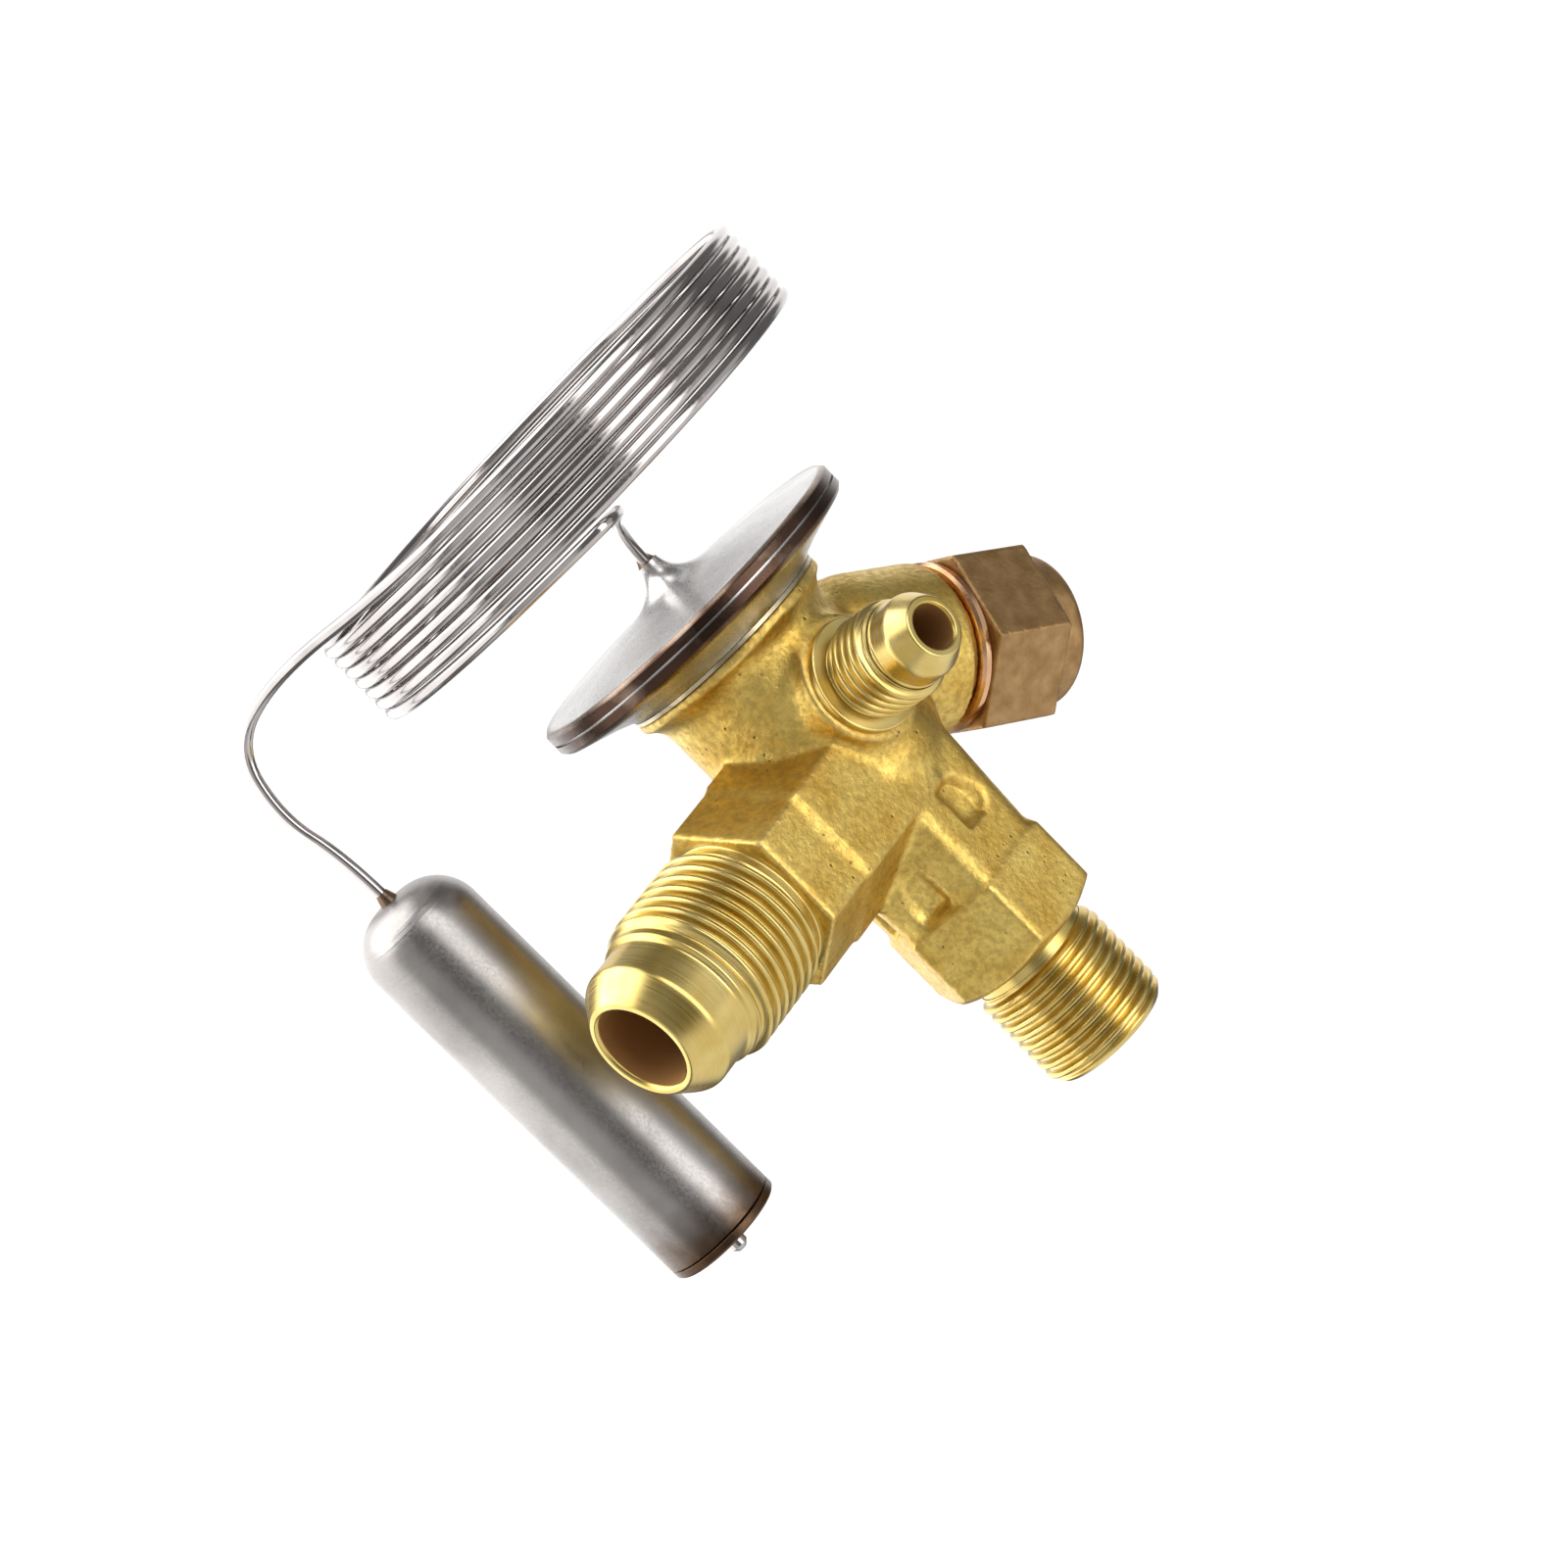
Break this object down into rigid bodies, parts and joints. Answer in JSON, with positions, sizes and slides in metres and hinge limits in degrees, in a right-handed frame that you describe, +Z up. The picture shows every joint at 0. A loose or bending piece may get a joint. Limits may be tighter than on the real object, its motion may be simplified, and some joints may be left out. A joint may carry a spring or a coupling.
{
  "type": "expansion valve",
  "caption": "Externally equalised refrigerant expansion valve: forged brass body with flare ends, steel power head, coiled capillary and sensing bulb.",
  "frame": {"origin": "centre of the inlet hexagon's lower face, on the valve axis, where the inlet flare nut's thread begins", "axes": "+Z up the valve axis to the power head and coil, outlet towards -X, external equaliser towards -Y, setting spindle and seal cap towards +X and down; the inlet points -Z"},
  "size_m": [0.081, 0.0608, 0.0907],
  "materials": {
    "forged_brass": "matte, sand textured forging with bright turned threads",
    "bronze_cap": "matte turned bronze tone",
    "turned_brass": "satin turned",
    "copper_washer": "polished copper ring",
    "head_steel": "satin pressed stainless steel",
    "tube_steel": "polished stainless steel tube",
    "bulb_steel": "brushed stainless steel",
    "inner_steel": "ground stainless steel",
    "spring_steel": "drawn spring wire",
    "braze": "silver braze fillet",
    "ptfe": "white seal plastic",
    "screen_mesh": "fine woven stainless screen"
  },
  "bodies": {
    "valve": {"valve_body": "forged_brass", "head_upper_shell": "head_steel", "head_lower_shell": "head_steel", "head_braze_ring": "braze", "diaphragm": "inner_steel", "nose_braze": "braze", "orifice_body": "turned_brass", "orifice_seal": "ptfe", "spring_retainer": "turned_brass", "cone_spring": "spring_steel", "strainer_ring": "turned_brass", "strainer_screen": "screen_mesh", "superheat_spring": "spring_steel", "gland_packing": "ptfe", "gland_nut": "turned_brass", "capillary_tube": "tube_steel", "bulb_shell": "bulb_steel", "bulb_end_cap": "bulb_steel", "bulb_fill_tube": "tube_steel", "bulb_ferrule": "braze"},
    "stem": {"diaphragm_pad": "inner_steel", "push_pin": "inner_steel", "valve_cone": "inner_steel"},
    "thrust": {"thrust_ball": "inner_steel"},
    "spindle": {"setting_spindle": "inner_steel"},
    "seat": {"spring_seat": "turned_brass"},
    "cap_ring": {"cap_washer": "copper_washer"},
    "cap": {"seal_cap": "bronze_cap"}
  },
  "joints": [
    {"name": "stem_stroke", "type": "slide", "parent": "valve", "child": "stem", "axis": [0, 0, -1], "range_m": [0, 0.0008], "stiffness_N_per_m": 3300, "springref_m": -0.0005, "deforming": ["superheat_spring", "cone_spring", "diaphragm"]},
    {"name": "ball_slide", "type": "slide", "parent": "valve", "child": "thrust", "axis": [0.848, 0, -0.5299], "range_m": [-0.0016, 0.0016]},
    {"name": "spindle_turn", "type": "hinge", "parent": "thrust", "child": "spindle", "pos_m": [0, 0, 0.04], "axis": [0.848, 0, -0.5299], "range_deg": [-722, 722]},
    {"name": "seat_lift", "type": "slide", "parent": "valve", "child": "seat", "axis": [0, 0, 1], "range_m": [-0.00086, 0.00086]},
    {"name": "cap_lift", "type": "slide", "parent": "valve", "child": "cap_ring", "axis": [0.848, 0, -0.5299], "range_m": [0, 0.007]},
    {"name": "cap_turn", "type": "hinge", "parent": "cap_ring", "child": "cap", "pos_m": [0, 0, 0.04], "axis": [0.848, 0, -0.5299], "range_deg": [0, 1682]}
  ],
  "couplings": [
    {"joint": "spindle_turn", "follows": "ball_slide", "rad_per_m": 7854},
    {"joint": "seat_lift", "follows": "ball_slide", "ratio": -0.52992},
    {"joint": "cap_turn", "follows": "cap_lift", "rad_per_m": 4188.8}
  ]
}
